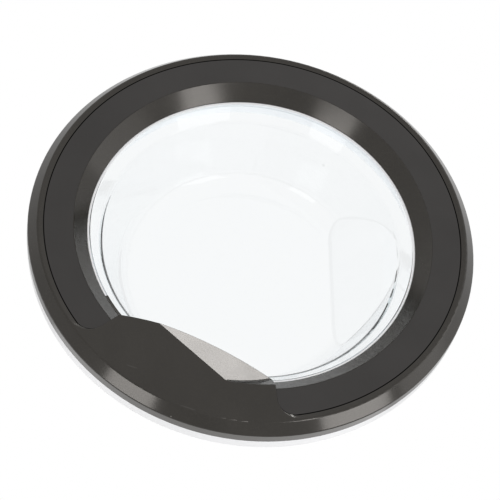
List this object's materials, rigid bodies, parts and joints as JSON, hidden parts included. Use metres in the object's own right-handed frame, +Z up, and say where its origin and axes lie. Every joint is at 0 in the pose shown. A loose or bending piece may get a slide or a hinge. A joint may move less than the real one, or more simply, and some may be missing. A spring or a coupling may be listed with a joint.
{
  "type": "washing machine door",
  "caption": "Round porthole door for a front-loading washing machine: dark ring with inlay and scooped handle, clear glass bowl, white rear frame, side hinge and latch hook.",
  "frame": {"origin": "on the door's axis, in the plane of the cabinet's front panel, with the door closed", "axes": "+Z up, +Y into the machine along the door's axis, +X from the hinge towards the latch; the front of the door faces -Y"},
  "size_m": [0.47, 0.1096, 0.47],
  "materials": {
    "pearl_frame": "dark pearl lacquer with a gloss coat and fine metal flake",
    "satin_band": "satin charcoal with a fine grain",
    "clear_glass": "clear pressed glass",
    "seal_rubber": "soft white silicone rubber",
    "white_frame": "white moulded plastic, semi-gloss",
    "screw_steel": "zinc-plated steel",
    "hinge_casting": "zinc-plated steel, satin",
    "pin_steel": "bright drawn steel",
    "bush_nylon": "natural nylon",
    "latch_steel": "pressed zinc-plated steel",
    "hook_casting": "cast and tumbled steel",
    "buffer_rubber": "grey rubber"
  },
  "bodies": {
    "cabinet_hinge": {"hinge_bracket": "hinge_casting", "hinge_bush_upper": "bush_nylon", "hinge_bush_lower": "bush_nylon"},
    "door": {"outer_frame": "pearl_frame", "trim_band": "satin_band", "glass_bowl": "clear_glass", "glass_seal": "seal_rubber", "rear_frame": "white_frame", "frame_screws": "screw_steel", "hinge_pin": "pin_steel", "latch_plate": "latch_steel", "hook_pin": "pin_steel", "latch_screws": "screw_steel", "door_buffers": "buffer_rubber"},
    "hook": {"latch_hook": "hook_casting", "hook_spring": "pin_steel"}
  },
  "joints": [
    {"name": "door_swing", "type": "hinge", "parent": "cabinet_hinge", "child": "door", "pos_m": [-0.222, -0.02, 0], "axis": [0, 0, -1], "range_deg": [0, 135]},
    {"name": "hook_turn", "type": "hinge", "parent": "door", "child": "hook", "pos_m": [0.205, -0.018, 0], "axis": [0, 0, 1], "range_deg": [0, 15], "stiffness_Nm_per_rad": 0.5, "springref_deg": -5.73}
  ]
}
